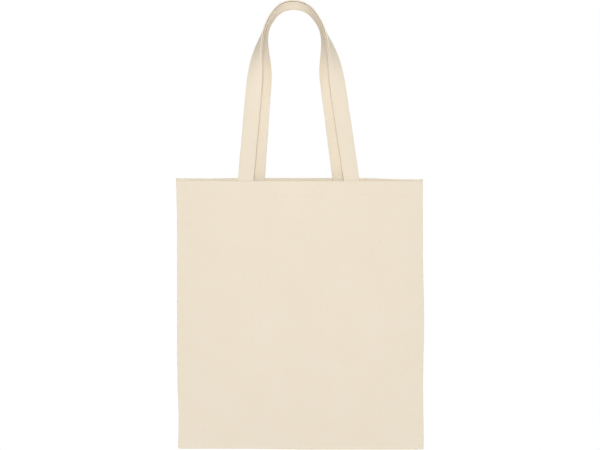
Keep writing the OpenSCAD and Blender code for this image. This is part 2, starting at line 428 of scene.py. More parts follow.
@dataclass(frozen=True)
class NaturalCanvas(Finish):
    """Unbleached cotton canvas in plain weave, as it comes off the loom.

    Thick and thin stretches of yarn give faint streaks along both thread directions, and
    the eye gets a warm cream that is quite matt, with a little fuzz at grazing angles.
    The real threads lie about 0.5 mm apart. They are drawn 0.9 mm apart, as coarse as the
    weave needs to be to show at all.
    """

    name: str = "natural_cotton_canvas"
    cream: str = "#EADFCD"
    shade: str = "#E6DAC5"
    # Colour of the real seed husk flecks, also used as painted shade in the weave's gaps
    husk_and_gap_shade: str = "#C8B594"
    thread_pitch: float = 0.9 * MM
    slub_width: float = 1.1 * MM
    slub_length: float = 26 * MM
    mottle_size: float = 55 * MM
    fleck_spacing: float = 13 * MM
    weave_depth: float = 0.16 * MM
    slub_share: float = 0.35
    slub_height: float = 0.5
    slub_range: tuple[float, float] = (0.52, 0.74)
    thread_crossing: float = 1.4
    mottle_share: tuple[float, float] = (0.2, 0.6)
    husk_rarity: float = 0.62
    husk_size: float = 0.055
    husk_share: float = 0.5
    # Painted shade in the weave's gaps: below this weave height the colour darkens towards the husk
    # colour, at most by the next share
    gap_height: float = 0.55
    gap_shade_share: float = 0.16
    bump: float = 0.5

    def weave_height(self, tree: bpy.types.NodeTree, flat: bpy.types.Node) -> bpy.types.NodeSocket:
        """Height of a plain weave, from 0 between the threads to 1 on their crowns.

        Args:
            tree: Node tree to add to.
            flat: Node that separates the flat cloth coordinates.

        Returns:
            The height's socket.
        """
        waves = []
        for axis in ("X", "Y"):
            scaled = add_node(
                tree,
                "ShaderNodeMath",
                {"operation": "MULTIPLY", 1: math.pi / self.thread_pitch},
                {0: flat.outputs[axis]},
            )
            waves.append(
                add_node(tree, "ShaderNodeMath", {"operation": "SINE"}, {0: scaled.outputs[0]})
            )
        crossing = add_node(
            tree,
            "ShaderNodeMath",
            {"operation": "MULTIPLY"},
            {0: waves[0].outputs[0], 1: waves[1].outputs[0]},
        )
        sums = []
        for wave, slope in zip(waves, (self.thread_crossing, -self.thread_crossing)):
            crown = add_node(
                tree, "ShaderNodeMath", {"operation": "ABSOLUTE"}, {0: wave.outputs[0]}
            )
            on_top = add_node(
                tree,
                "ShaderNodeMath",
                {"operation": "MULTIPLY_ADD", "use_clamp": True, 1: slope, 2: 0.5},
                {0: crossing.outputs[0]},
            )
            sums.append(
                add_node(
                    tree,
                    "ShaderNodeMath",
                    {"operation": "MULTIPLY"},
                    {0: crown.outputs[0], 1: on_top.outputs[0]},
                )
            )
        both = add_node(
            tree,
            "ShaderNodeMath",
            {"operation": "ADD"},
            {0: sums[0].outputs[0], 1: sums[1].outputs[0]},
        )
        return both.outputs[0]

    def slubs(
        self, tree: bpy.types.NodeTree, place: bpy.types.NodeSocket, lengthwise: bool
    ) -> bpy.types.NodeSocket:
        """Thick stretches of the yarn that runs one way, as streaks from 0 to 1.

        Args:
            tree: Node tree to add to.
            place: Flat cloth coordinates.
            lengthwise: Whether the yarn runs along the cloth's length, not across it.

        Returns:
            The streaks' socket.
        """
        across, along = 1 / self.slub_width, 1 / self.slub_length
        scale = (across, along, 1.0) if lengthwise else (along, across, 1.0)
        stretched = add_node(
            tree,
            "ShaderNodeMapping",
            {"Scale": scale, "Location": (3.7, 9.1, 0.0) if lengthwise else (0.0, 0.0, 5.0)},
            {"Vector": place},
        )
        noise = add_node(
            tree,
            "ShaderNodeTexNoise",
            {"Scale": 1.0, "Detail": 2.0, "Roughness": 0.45},
            {"Vector": stretched.outputs[0]},
        )
        streak = add_node(
            tree,
            "ShaderNodeMapRange",
            {
                "interpolation_type": "SMOOTHSTEP",
                1: self.slub_range[0],
                2: self.slub_range[1],
            },
            {0: noise.outputs[0]},
        )
        return streak.outputs[0]

    def dress(self, tree: bpy.types.NodeTree) -> None:
        """Fills the node tree: colour from mottle, slubs and husks, painted shade in the weave's
        gaps between the threads, and bump from the weave.
        """
        place = add_node(tree, "ShaderNodeUVMap", {"uv_map": CLOTH_MAP}).outputs[0]
        flat = add_node(tree, "ShaderNodeSeparateXYZ", links={0: place})
        mottle = add_node(
            tree,
            "ShaderNodeTexNoise",
            {"Scale": 1 / self.mottle_size, "Detail": 4.0, "Roughness": 0.55},
            {"Vector": place},
        )
        patches = add_node(
            tree,
            "ShaderNodeMapRange",
            {1: 0.3, 2: 0.75, 3: self.mottle_share[0], 4: self.mottle_share[1]},
            {0: mottle.outputs[0]},
        )
        ground = add_node(
            tree,
            "ShaderNodeMix",
            {"data_type": "RGBA", 6: linear(self.cream), 7: linear(self.shade)},
            {0: patches.outputs[0]},
        )
        warp = self.slubs(tree, place, lengthwise=True)
        weft = self.slubs(tree, place, lengthwise=False)
        yarn = add_node(
            tree,
            "ShaderNodeMath",
            {"operation": "ADD", "use_clamp": True},
            {0: warp, 1: weft},
        )
        streaks = add_node(
            tree,
            "ShaderNodeMath",
            {"operation": "MULTIPLY", 1: self.slub_share},
            {0: yarn.outputs[0]},
        )
        streaked = add_node(
            tree,
            "ShaderNodeMix",
            {"data_type": "RGBA", 7: linear(self.shade)},
            {0: streaks.outputs[0], 6: ground.outputs[2]},
        )
        cells = add_node(
            tree,
            "ShaderNodeTexVoronoi",
            {"Scale": 1 / self.fleck_spacing, "voronoi_dimensions": "2D"},
            {"Vector": place},
        )
        rare = add_node(
            tree, "ShaderNodeSeparateColor", links={0: cells.outputs["Color"]}
        )
        size = add_node(
            tree,
            "ShaderNodeMapRange",
            {1: self.husk_rarity, 2: 1.0, 3: 0.0, 4: self.husk_size},
            {0: rare.outputs[0]},
        )
        husk = add_node(
            tree,
            "ShaderNodeMath",
            {"operation": "LESS_THAN"},
            {0: cells.outputs["Distance"], 1: size.outputs[0]},
        )
        faint = add_node(
            tree,
            "ShaderNodeMath",
            {"operation": "MULTIPLY", 1: self.husk_share},
            {0: husk.outputs[0]},
        )
        flecked = add_node(
            tree,
            "ShaderNodeMix",
            {"data_type": "RGBA", 7: linear(self.husk_and_gap_shade)},
            {0: faint.outputs[0], 6: streaked.outputs[2]},
        )
        weave = self.weave_height(tree, flat)
        # Painted shade: the colour darkens towards the husk colour where the weave is low, in the
        # gaps between the threads
        weave_gap_shade = add_node(
            tree,
            "ShaderNodeMapRange",
            {1: 0.0, 2: self.gap_height, 3: self.gap_shade_share, 4: 0.0},
            {0: weave},
        )
        coloured = add_node(
            tree,
            "ShaderNodeMix",
            {"data_type": "RGBA", 7: linear(self.husk_and_gap_shade)},
            {0: weave_gap_shade.outputs[0], 6: flecked.outputs[2]},
        )
        height = add_node(
            tree,
            "ShaderNodeMath",
            {"operation": "MULTIPLY_ADD", 1: self.slub_height},
            {0: yarn.outputs[0], 2: weave},
        )
        bump = add_node(
            tree,
            "ShaderNodeBump",
            {"Strength": self.bump, "Distance": self.weave_depth},
            {"Height": height.outputs[0]},
        )
        cotton = add_node(
            tree,
            "ShaderNodeBsdfPrincipled",
            {
                "Roughness": 0.93,
                "IOR": 1.5,
                "Specular IOR Level": 0.25,
                "Sheen Weight": 0.12,
                "Sheen Roughness": 0.5,
            },
            {"Base Color": coloured.outputs[2], "Normal": bump.outputs[0]},
        )
        add_node(tree, "ShaderNodeOutputMaterial", links={0: cotton.outputs[0]})


@dataclass(frozen=True)
class StrapCanvas(NaturalCanvas):
    """The same canvas cut into strips, folded lengthwise, pressed and sewn.

    Pressing flattens the weave a little, so it reads finer and tighter than on the panels.
    """

    name: str = "folded_strap_canvas"
    cream: str = "#EADFCD"
    shade: str = "#E5D8C2"
    thread_pitch: float = 0.8 * MM
    slub_length: float = 18 * MM
    weave_depth: float = 0.13 * MM


@dataclass(frozen=True)
class SewingThread(Finish):
    """Two-ply cotton sewing thread, spun and twisted.

    It gives the eye rows a touch paler than the canvas, with a soft light on each stitch
    and a fine slanting twist.
    """

    name: str = "cotton_sewing_thread"
    pale: str = "#EFE6D3"
    deep: str = "#E0D2B6"
    ply_length: float = 0.6 * MM

    def dress(self, tree: bpy.types.NodeTree) -> None:
        """Fills the node tree: two shades of thread and a bump for the twist."""
        place = add_node(tree, "ShaderNodeTexCoord").outputs["Object"]
        shades = add_node(
            tree,
            "ShaderNodeTexNoise",
            {"Scale": 1 / (4 * MM), "Detail": 2.0},
            {"Vector": place},
        )
        colour = add_node(
            tree,
            "ShaderNodeMix",
            {"data_type": "RGBA", 6: linear(self.pale), 7: linear(self.deep)},
            {0: shades.outputs[0]},
        )
        twist = add_node(
            tree,
            "ShaderNodeTexWave",
            {
                "wave_type": "BANDS",
                "bands_direction": "DIAGONAL",
                "Scale": 0.314 / self.ply_length,
                "Distortion": 0.4,
            },
            {"Vector": place},
        )
        bump = add_node(
            tree,
            "ShaderNodeBump",
            {"Strength": 0.35, "Distance": 0.08 * MM},
            {"Height": twist.outputs["Fac"]},
        )
        cotton = add_node(
            tree,
            "ShaderNodeBsdfPrincipled",
            {
                "Roughness": 0.75,
                "IOR": 1.5,
                "Specular IOR Level": 0.35,
                "Sheen Weight": 0.1,
                "Sheen Roughness": 0.5,
            },
            {"Base Color": colour.outputs[2], "Normal": bump.outputs[0]},
        )
        add_node(tree, "ShaderNodeOutputMaterial", links={0: cotton.outputs[0]})


@dataclass(frozen=True)
class LightTable(Finish):
    """White acrylic floor lit from below, as under a product on a photographer's table.

    It lights the bag softly from underneath, and the eye sees it as even white.
    """

    name: str = "lit_acrylic_floor"
    glow: float = 0.62
    seen_glow: float = 1.0

    def dress(self, tree: bpy.types.NodeTree) -> None:
        """Fills the node tree: one glow that lights the bag, one that the camera sees."""
        glows = [
            add_node(tree, "ShaderNodeEmission", {"Color": (1, 1, 1, 1), "Strength": strength})
            for strength in (self.glow, self.seen_glow)
        ]
        ray = add_node(tree, "ShaderNodeLightPath")
        both = add_node(
            tree,
            "ShaderNodeMixShader",
            links={0: ray.outputs["Is Camera Ray"], 1: glows[0].outputs[0], 2: glows[1].outputs[0]},
        )
        add_node(tree, "ShaderNodeOutputMaterial", links={0: both.outputs[0]})


# ---- The bag's outline and depth ----------------------------------------------------


@dataclass
class BagShape:
    """Outline and depth that the panels, seams and stitches share.

    The outline drifts by a millimetre or two, as cut and sewn cloth does. Each drift of a
    side seam is a push outwards, the share of the bag's height where it is greatest, and
    the share over which it fades.
    """

    cloth: float = 0.78 * MM
    edge_half: float = 1.95 * MM
    side_run: float = 100 * MM
    bottom_run: float = 180 * MM
    soft_start: float = 4 * MM
    corner: float = 3 * MM
    trim: float = 0.35 * MM
    left_drifts: tuple[Place, ...] = ((1.7 * MM, 1.02, 0.11), (-2.3 * MM, 0.11, 0.12))
    right_drifts: tuple[Place, ...] = ((1.9 * MM, 0.48, 0.16), (1.3 * MM, 0.03, 0.13))
    wobble: float = 0.15 * MM
    sag: float = 1.3 * MM
    sag_height: float = 60 * MM
    half_width: float = field(init=False)
    mouth_half: float = field(init=False)
    bottom: float = field(init=False)
    mouth: dict[Side, float] = field(init=False)

    def __post_init__(self) -> None:
        """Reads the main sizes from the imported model."""
        low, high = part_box("front_panel")
        self.half_width = high.x
        self.mouth_half = -low.y
        self.bottom = low.z
        self.mouth = {side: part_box(f"{side.label}_panel")[1].z for side in Side}
        self.wobbles = {
            hand: Ripple(seed, 28 * MM, 90 * MM) for hand, seed in zip(Hand, (11, 12))
        }

    @property
    def fold_radius(self) -> float:
        """Radius of the cloth's middle where it turns in at a seam."""
        return (self.edge_half - self.cloth) / 2 - 0.01 * MM

    def edge(self, hand: Hand, z: Array) -> Array:
        """Distance of a side seam from the middle plane, at heights z."""
        t = (z - self.bottom) / (self.mouth[Side.FRONT] - self.bottom)
        edge = self.half_width - self.trim + self.wobble * self.wobbles[hand].on(z)
        drifts = self.left_drifts if hand is Hand.LEFT else self.right_drifts
        for push, at, fade in drifts:
            edge = edge + push * bell(t - at, fade)
        return edge

    def settled(self, x: Array, z: Array) -> Array:
        """Heights of places once the bottom edge has stretched down, most on the right."""
        drop = self.sag * smooth((x + 95 * MM) / (110 * MM))
        return z - drop * smooth(1 - (z - self.bottom) / self.sag_height)

    def from_side(self, x: Array, z: Array) -> Array:
        """Distance from the nearer side seam."""
        return np.minimum(x + self.edge(Hand.LEFT, z), self.edge(Hand.RIGHT, z) - x)

    def depth(self, x: Array, z: Array) -> Array:
        """Distance of a panel's outer face from the bag's middle plane.

        Args:
            x: Places across the bag.
            z: Heights.

        Returns:
            Distances, least at the seams and greatest in the middle of the bag.
        """
        rise = []
        for distance, run in (
            (self.from_side(x, z), self.side_run),
            (z - self.bottom, self.bottom_run),
        ):
            reach = np.maximum(distance, 0)
            soft = np.sqrt(reach**2 + self.soft_start**2) - self.soft_start
            rise.append(1 - (1 - np.minimum(soft / run, 1)) ** 2)
        return self.edge_half + (self.mouth_half - self.edge_half) * rise[0] * rise[1]


@dataclass
class PanelCloth:
    """One panel with its hem, cut as one cloth and folded twice at the mouth."""

    shape: BagShape
    side: Side
    finish: Finish
    seed: int
    left_droop: float
    right_droop: float
    hem_height: float = 25 * MM
    hem_row_drop: float = 22 * MM
    layer_step: float = 0.81 * MM
    step: float = 2.2 * MM
    seam_allowance: float = 12 * MM
    drape: float = 0.45 * MM
    pull_fold: float = 0.8 * MM
    pull_length: float = 130 * MM
    edge_band: float = 8 * MM
    pucker: float = 0.3 * MM
    row_dent: float = 0.16 * MM
    foot_spread: float = 81.5 * MM
    foot_middle: float = -2 * MM
    level_half: float = 101 * MM

    def __post_init__(self) -> None:
        """Draws the panel's own waves."""
        self.broad = Ripple(self.seed, 80 * MM, 190 * MM, 5)
        self.mid = Ripple(self.seed + 1, 38 * MM, 85 * MM, 7)
        self.side_puckers = Ripple(self.seed + 2, 9 * MM, 17 * MM, 5)
        self.low_puckers = Ripple(self.seed + 3, 9 * MM, 17 * MM, 5)
        self.hem_puckers = Ripple(self.seed + 4, 7 * MM, 13 * MM, 5)

    def mouth_edge(self, x: Array) -> Array:
        """Height of the panel's mouth edge: it droops a little outside the handles."""
        left = self.left_droop * smooth((-x - 85 * MM) / (60 * MM))
        right = self.right_droop * smooth((x - 95 * MM) / (75 * MM))
        return self.shape.mouth[self.side] - left - right

    def relief(self, x: Array, z: Array) -> Array:
        """How far waves, pulls, puckers and the hem row push the cloth outwards.

        Args:
            x: Places across the bag.
            z: Heights.

        Returns:
            Pushes, outwards above 0.
        """
        shape = self.shape
        top = self.mouth_edge(x)
        below = top - z
        from_side = np.maximum(shape.from_side(x, z), 0)
        from_low = np.maximum(z - shape.bottom, 0)
        calm = smooth(from_side / (40 * MM)) * smooth(from_low / (40 * MM))
        open_cloth = calm * smooth((below - 24 * MM) / (45 * MM))
        waves = self.drape * (0.75 * self.broad.over(x, z) + 0.3 * self.mid.over(x, z)) * open_cloth
        pulls = np.zeros_like(waves)
        for hand in Hand:
            line = self.foot_middle + hand.value * (self.foot_spread + 0.10 * below)
            begin = smooth((below - 20 * MM) / (30 * MM))
            fade = begin * np.exp(-np.maximum(below, 0) / self.pull_length)
            pulls += self.pull_fold * bell(x - line, 20 * MM) * fade
            pulls -= 0.5 * self.pull_fold * bell(x - line - hand.value * 34 * MM, 22 * MM) * fade
        near_side = from_side / (3 * MM) * np.exp(1 - from_side / (3 * MM))
        near_low = from_low / (3 * MM) * np.exp(1 - from_low / (3 * MM))
        at_side = near_side * self.side_puckers.on(z + 0.3 * x)
        at_low = near_low * self.low_puckers.on(x + 0.3 * z)
        puckers = self.pucker * (at_side + at_low)
        off_row = z - (top - self.hem_row_drop)
        at_row = bell(off_row, 1.4 * MM)
        row = -self.row_dent * at_row * smooth(from_side / (12 * MM))
        hem = 0.12 * MM * self.hem_puckers.on(x + 0.2 * z) * np.exp(-np.abs(off_row) / (5 * MM))
        return waves + pulls * calm + puckers + row + hem * calm

    def face_middle(self, x: Array, z: Array) -> Array:
        """Y of the middle of the panel's cloth, for a panel at the front."""
        return -(self.shape.depth(x, z) - self.shape.cloth / 2 + self.relief(x, z))

    def hem_gap(self, x: Array) -> Array:
        """Distance between the panel's cloth and the hem's inmost layer."""
        top = np.full_like(x, self.shape.mouth[self.side])
        from_side = self.shape.from_side(x, top)
        return self.layer_step * (1 + smooth((from_side - 5 * MM) / (9 * MM)))

    def grid(self) -> tuple[Array, Array, Array]:
        """Lays out the middle of the cloth as rows from the bottom seam up and over the hem.

        Returns:
            The points, the cells that are there, and the flat cloth coordinates.
        """
        shape = self.shape
        radius = shape.fold_radius
        inset = radius + shape.cloth / 2
        fold = np.linspace(0, math.pi * radius, 8)[1:]
        near = np.array([0, 1, 2, 3.2, 4.6, 6.2]) * MM
        width = 2 * (shape.half_width - inset)
        band = self.edge_band
        count = int((width - 2 * band) / self.step)
        inner = np.linspace(band, width - band, count + 1)
        across = np.concatenate([-fold[::-1], near, inner, width - near[::-1], width + fold])
        top = shape.mouth[self.side]
        height = top - shape.bottom - inset
        rises = np.arange(band, height - self.hem_row_drop - 3 * MM, self.step)
        hem = height - self.hem_row_drop + np.array([-3, -2, -1.2, -0.6, 0, 0.6, 1.2, 2, 3]) * MM
        last = np.linspace(hem[-1], height, 10)[1:]
        up = np.concatenate([-fold[::-1], near, rises, hem, last])
        rows, columns = len(up), len(across)
        a = np.broadcast_to(across[None], (rows, columns)).copy()
        b = np.broadcast_to(up[:, None], (rows, columns)).copy()

        # Distances outwards from the lines where the corner's rounding begins
        round_in = shape.corner - inset
        left_out, right_out = round_in - a, round_in - (width - a)
        hand = np.where(a < width / 2, -1.0, 1.0)
        out_x = np.where(hand < 0, left_out, right_out)
        out_z = round_in - b

        def turned(m: Array) -> tuple[Array, Array]:
            """How far out, and how far in depth, the cloth is at a distance along it."""
            past = np.clip(m - round_in, 0, math.pi * radius)
            return np.minimum(m, round_in) + radius * np.sin(past / radius), radius * (
                1 - np.cos(past / radius)
            )

        longest = np.maximum(out_x, out_z)
        reach, rise = turned(longest)
        both = (out_x > 0) & (out_z > 0)
        norm = np.maximum(np.hypot(out_x, out_z), 1e-9)
        x_out = np.where(both, out_x / norm * reach, turned(out_x)[0])
        z_out = np.where(both, out_z / norm * reach, turned(out_z)[0])
        z = shape.bottom + inset + round_in - z_out
        edge = np.where(hand < 0, shape.edge(Hand.LEFT, z), shape.edge(Hand.RIGHT, z))
        straight = np.where(hand < 0, a, width - a)
        plain_x = hand * (shape.half_width - inset - straight)
        rim_x = hand * (edge - inset - round_in + x_out)
        drift = edge - shape.half_width
        x = np.where(out_x > 0, rim_x, plain_x + hand * drift * smooth(1 - straight / (120 * MM)))

        # The mouth: the face ends where the fold begins
        gap = self.hem_gap(x[-1])
        shoulder = smooth((shape.from_side(x[-1], z[-1]) - 1 * MM) / (2.5 * MM))
        fold_centre = self.mouth_edge(x[-1]) - (shape.cloth / 2 + gap / 2) * shoulder
        stretch = (fold_centre - shape.bottom) / (z[-1] - shape.bottom)
        lift = smooth((z - shape.bottom) / (top - shape.bottom))
        z = shape.bottom + (z - shape.bottom) * (1 + (stretch[None] - 1) * lift)
        y = self.face_middle(x, z) + rise
        low = np.minimum(y, -shape.cloth / 2 - 0.03 * MM)
        points = np.stack([x, low, shape.settled(x, z)], -1)

        # Over the mouth, down inside, back up between the layers
        base = points[-1]
        extra = []
        turns = np.linspace(0, math.pi, 9)[1:]
        for turn in turns:
            extra.append((gap / 2 * (1 - np.cos(turn)), fold_centre + gap / 2 * np.sin(turn)))
        small = gap / 4
        low_turn = self.mouth_edge(base[:, 0]) - self.hem_height + shape.cloth / 2 + small
        for share in np.linspace(0, 1, 11)[1:]:
            extra.append((gap, fold_centre + (low_turn - fold_centre) * share))
        down_rows = len(turns) + 10
        for turn in np.linspace(0, math.pi, 7)[1:]:
            extra.append((gap - small * (1 - np.cos(turn)), low_turn - small * np.sin(turn)))
        for share in np.linspace(0, 0.94, 7)[1:]:
            extra.append((gap / 2, low_turn + (fold_centre - low_turn) * share))
        for inward, height_z in extra:
            row = base.copy()
            face = self.face_middle(base[:, 0], height_z)
            row[:, 1] = np.minimum(face, 0) + inward
            row[:, 2] = height_z
            points = np.concatenate([points, row[None]])
        steps = np.linalg.norm(np.diff(points, axis=0), axis=-1)
        length = np.concatenate([np.zeros((1, columns)), np.cumsum(steps, 0)])
        middle_column = columns // 2
        path = length[:, middle_column]
        flat = np.stack(
            [
                np.broadcast_to(across[None], points.shape[:2]),
                np.broadcast_to(path[:, None], points.shape[:2]),
            ],
            -1,
        )

        keep = np.ones((points.shape[0] - 1, columns - 1), bool)
        seam_distance = shape.from_side(base[:, 0], np.full(columns, top))
        cell = np.minimum(seam_distance[1:], seam_distance[:-1])
        keep[rows - 1 :, cell < 3 * MM] = False
        keep[rows - 1 + down_rows :, cell < 14 * MM] = False
        return points, keep, flat

    def weights(self, piece: bpy.types.Object) -> None:
        """Bakes the piece's placement into its mesh. The panel's body, the top of its mouth and the
        points' distances from the side seams are worked out, but nothing uses them.

        Args:
            piece: Object that lies on the panel.
        """
        body = self.side.label
        high = (0.0, 0.0, self.shape.mouth[self.side])
        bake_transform(piece)
        points = np.array([v.co for v in piece.data.vertices])
        from_side = self.shape.from_side(points[:, 0], points[:, 2])

    def built(self) -> bpy.types.Object:
        """Makes the panel's cloth, bakes its placement, and hides the imported panel and hem."""
        points, keep, flat = self.grid()
        shell = thickened(points, keep, self.shape.cloth, flat)
        name = f"{self.side.label}_panel_canvas"
        piece = shell.mirrored(self.side).made(name, self.finish)
        self.weights(piece)
        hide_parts(f"{self.side.label}_panel", f"{self.side.label}_hem")
        return piece


@dataclass
class HemStitching:
    """The row of stitches that holds a hem, outside on the panel and inside on the hem."""

    panel: PanelCloth
    finish: Finish
    stitch: Stitch = Stitch()
    pitch: float = 4 * MM
    clear_of_seam: float = 15 * MM
    strap_half: float = 13.5 * MM

    def built(self) -> bpy.types.Object:
        """Makes both faces of the row, and bakes its placement."""
        panel = self.panel
        shape = panel.shape
        half = shape.half_width - self.clear_of_seam
        x = np.arange(-half, half, self.pitch)
        z = panel.mouth_edge(x) - panel.hem_row_drop
        face = panel.face_middle(x, z)
        along = np.stack([np.ones_like(x), np.gradient(face, x), np.gradient(z, x)], -1)
        outward = np.stack([np.gradient(face, x), -np.ones_like(x), np.zeros_like(x)], -1)
        outside = np.stack([x, face - shape.cloth / 2, z], -1)
        inside = np.stack([x, face + panel.hem_gap(x) + shape.cloth / 2, z], -1)
        clear = np.ones(len(x), bool)
        for hand in Hand:
            foot = panel.foot_middle + hand.value * (panel.foot_spread + 2.3 * MM)
            clear &= np.abs(x - foot) > self.strap_half
        shell = self.stitch.laid(outside, along, outward).joined(
            self.stitch.laid(inside[clear], along[clear], -outward[clear])
        )
        name = f"{panel.side.label}_hem_row"
        piece = shell.mirrored(panel.side).made(name, self.finish)
        panel.weights(piece)
        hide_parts(f"{panel.side.label}_hem_stitching")
        return piece


# ---- Seams --------------------------------------------------------------------------


@dataclass
class SeamEdges:
    """The panels' raw edges turned inside at a seam, lying together, and their overlock."""

    shape: BagShape
    canvas: Finish
    thread: Finish
    width: float = 12 * MM
    start: float = 1.2 * MM
    bound: float = 7 * MM
    loop_pitch: float = 3 * MM
    thread_radius: float = 0.22 * MM
    sway: float = 0.35 * MM

    def strip(self, origin: Array, inward: Array, seed: int) -> tuple[Shell, Shell]:
        """Makes a seam's two cloth edges and the thread wound round them.

        Args:
            origin: Points along the seam line.
            inward: Direction from the seam towards the middle of the bag, at each point.
            seed: Which sways the edge has.

        Returns:
            The cloth edges and the overlock thread.
        """
        s = np.concatenate([[0], np.cumsum(np.linalg.norm(np.diff(origin, axis=0), axis=1))])
        ripple = Ripple(seed, 20 * MM, 60 * MM)
        half = self.shape.cloth
        reach = self.width + 0.25 * MM * Ripple(seed + 5, 15 * MM, 40 * MM).on(s)
        sway = self.sway * ripple.on(s)

        def place(u: Array, v: Array) -> Array:
            """Points by station and by place in the strip's cross-section."""
            across = u[None] * reach[:, None] / self.width
            bend = sway[:, None] * smooth(u[None] / self.width)
            spot = origin[:, None] + inward[:, None] * (self.start + across)[..., None]
            spot[..., 1] += v[None] + bend
            return spot

        w = self.width
        soft = 0.2 * MM
        crease = 0.05 * MM
        outline = [(0, -half), (w * 0.5, -half), (w - soft, -half), (w, -half + soft), (w, -crease)]
        notch = [(w - 1.2 * MM, 0)]
        profile = outline + notch + [(u, -v) for u, v in outline[::-1]]
        u, v = np.array(profile).T
        cloth = np.stack(np.broadcast_arrays(u[None] + 0.2 * v[None], s[:, None]), -1)
        edges = lofted(place(u, v), cloth)

        turns = s[-1] / self.loop_pitch
        angle = np.arange(0, turns * 2 * math.pi, math.pi / 7)
        at = angle / (2 * math.pi) * self.loop_pitch
        rng = np.random.default_rng(seed + 9)
        slack = 1 + 0.05 * rng.standard_normal(len(angle))
        wide, tall = self.bound / 2, half + 0.25 * MM
        square = np.sign(np.cos(angle)) * np.abs(np.cos(angle)) ** 0.5
        flat = np.sign(np.sin(angle)) * np.abs(np.sin(angle)) ** 0.3
        base = np.stack([np.interp(at, s, origin[:, k]) for k in range(3)], 1)
        into = np.stack([np.interp(at, s, inward[:, k]) for k in range(3)], 1)
        deep = np.interp(at, s, reach) - wide + 0.25 * MM + square * wide * slack
        line = base + into * (self.start + deep)[:, None]
        line[:, 1] += flat * tall + np.interp(at, s, sway)
        return edges, self.wound(line)

    def wound(self, line: Array) -> Shell:
        """Makes a round thread that follows a line of points."""
        along = unit(np.gradient(line, axis=0))
        side = unit(np.cross(along, np.array([0.3, 0.2, 1.0])))
        up = np.cross(side, along)
        turn = np.arange(5) * 2 * math.pi / 5
        rings = line[:, None] + self.thread_radius * (
            np.cos(turn)[None, :, None] * side[:, None] + np.sin(turn)[None, :, None] * up[:, None]
        )
        return lofted(rings)

    def finished(self, label: str, shells: tuple[Shell, Shell]) -> list[bpy.types.Object]:
        """Makes the two pieces of one seam and ties them to the seams' body."""
        edges = shells[0].made(f"{label}_seam_edges", self.canvas)
        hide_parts(f"{label}_seam_allowance")
        thread = shells[1].made(f"{label}_seam_overlock", self.thread)
        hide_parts(f"{label}_overlock_thread")
        return [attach(edges, "seams"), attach(thread, "seams")]

    def built(self) -> list[bpy.types.Object]:
        """Makes the turned-in edges of both side seams and of the bottom seam."""
        shape = self.shape
        low = shape.bottom + 1.2 * MM
        z = np.linspace(low, shape.mouth[Side.FRONT] - 0.5 * MM, 190)
        made = []
        for hand in Hand:
            x = hand.value * shape.edge(hand, z)
            line = np.stack([x, np.zeros_like(z), shape.settled(x, z)], 1)
            inward = np.zeros_like(line)
            inward[:, 0] = -hand.value
            made += self.finished(hand.label, self.strip(line, inward, 40 + hand.value))
        half = shape.half_width - self.width - self.start - 2 * MM
        x = np.linspace(-half, half, 170)
        low_edge = shape.settled(x, np.full_like(x, shape.bottom))
        line = np.stack([x, np.zeros_like(x), low_edge], 1)
        inward = np.zeros_like(line)
        inward[:, 2] = 1
        return made + self.finished("bottom", self.strip(line, inward, 60))


# ---- Handles ------------------------------------------------------------------------


